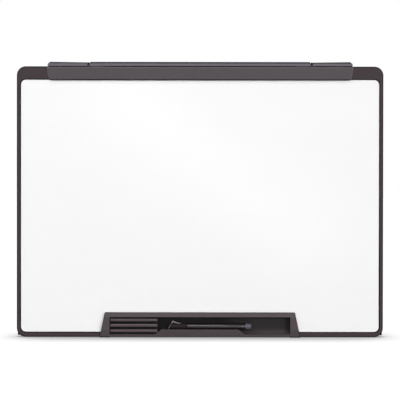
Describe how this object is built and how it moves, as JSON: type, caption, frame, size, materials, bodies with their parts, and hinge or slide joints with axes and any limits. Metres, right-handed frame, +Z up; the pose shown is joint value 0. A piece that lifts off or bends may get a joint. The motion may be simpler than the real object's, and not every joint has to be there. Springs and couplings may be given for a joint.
{
  "type": "portable whiteboard",
  "caption": "Portable framed whiteboard with a top bar holding a lift-up carry handle and swing-out hangers, a front tray with eraser and marker, and folding rear feet.",
  "frame": {"origin": "middle of the frame's bottom edge, on the surface that the board stands on", "axes": "+X to the right along the board, +Y to the back, +Z up"},
  "size_m": [0.61, 0.1255, 0.4579],
  "materials": {
    "charcoal_plastic": "fine satin",
    "bar_plastic": "satin",
    "strip_plastic": "smooth satin",
    "tray_plastic": "satin",
    "white_enamel": "gloss",
    "honeycomb": "plain",
    "nylon": "plain",
    "foot_plastic": "satin",
    "dark_steel": "satin",
    "zinc_steel": "plated",
    "rubber": "matte",
    "eraser_plastic": "matte",
    "felt": "felt",
    "marker_plastic": "gloss",
    "plug_plastic": "gloss"
  },
  "bodies": {
    "board": {"frame": "charcoal_plastic", "writing_surface": "white_enamel", "core": "honeycomb", "rear_cover": "charcoal_plastic", "top_bar": "bar_plastic", "hanger_bracket_left": "nylon", "hanger_bracket_right": "nylon", "hanger_pivots": "zinc_steel", "hanger_washers": "nylon", "handle_guide_left": "nylon", "handle_guide_right": "nylon", "tray": "tray_plastic", "foot_bracket_left": "foot_plastic", "foot_bracket_right": "foot_plastic", "foot_hinge_pins": "zinc_steel", "foot_backing_plates": "zinc_steel", "cover_screws": "zinc_steel", "bar_screws": "zinc_steel", "hanger_bracket_screws": "zinc_steel", "guide_screws": "zinc_steel", "tray_screws": "zinc_steel", "foot_screws": "zinc_steel"},
    "hanger_left": {"hanger_arm_left": "strip_plastic"},
    "hook_left": {"hanger_hook_left": "dark_steel", "hook_pad_left": "rubber"},
    "hanger_right": {"hanger_arm_right": "strip_plastic"},
    "hook_right": {"hanger_hook_right": "dark_steel", "hook_pad_right": "rubber"},
    "handle": {"handle": "strip_plastic", "handle_grip_pad": "rubber"},
    "foot_left": {"foot_left": "foot_plastic", "foot_pad_left": "rubber"},
    "foot_right": {"foot_right": "foot_plastic", "foot_pad_right": "rubber"},
    "eraser": {"eraser_grip": "eraser_plastic", "eraser_felt": "felt"},
    "marker": {"marker_barrel": "marker_plastic", "marker_plug": "plug_plastic", "marker_nib": "felt", "marker_reservoir": "felt"},
    "marker_cap": {"marker_cap": "marker_plastic"}
  },
  "joints": [
    {"name": "hanger_left_swing", "type": "hinge", "parent": "board", "child": "hanger_left", "pos_m": [-0.243, 0, 0.4508], "axis": [0, 0, 1], "range_deg": [0, 90]},
    {"name": "hanger_right_swing", "type": "hinge", "parent": "board", "child": "hanger_right", "pos_m": [0.243, 0, 0.4508], "axis": [0, 0, 1], "range_deg": [-90, 0]},
    {"name": "hook_left_slide", "type": "slide", "parent": "hanger_left", "child": "hook_left", "axis": [1, 0, 0], "range_m": [0, 0.024]},
    {"name": "hook_right_slide", "type": "slide", "parent": "hanger_right", "child": "hook_right", "axis": [-1, 0, 0], "range_m": [0, 0.024]},
    {"name": "handle_lift", "type": "slide", "parent": "board", "child": "handle", "axis": [0, 0, 1], "range_m": [0, 0.038]},
    {"name": "foot_left_fold", "type": "hinge", "parent": "board", "child": "foot_left", "pos_m": [-0.19, 0.0175, 0.045], "axis": [0, 0, 1], "range_deg": [-90, 0]},
    {"name": "foot_right_fold", "type": "hinge", "parent": "board", "child": "foot_right", "pos_m": [0.19, 0.0175, 0.045], "axis": [0, 0, 1], "range_deg": [0, 90]},
    {"name": "eraser_pull", "type": "slide", "parent": "board", "child": "eraser", "axis": [0, -1, 0], "range_m": [0, 0.06]},
    {"name": "marker_lift", "type": "slide", "parent": "board", "child": "marker", "axis": [0, -0.9659, 0.2588], "range_m": [0, 0.06]},
    {"name": "marker_cap_pull", "type": "slide", "parent": "marker", "child": "marker_cap", "axis": [-1, 0, 0], "range_m": [0, 0.014]}
  ]
}
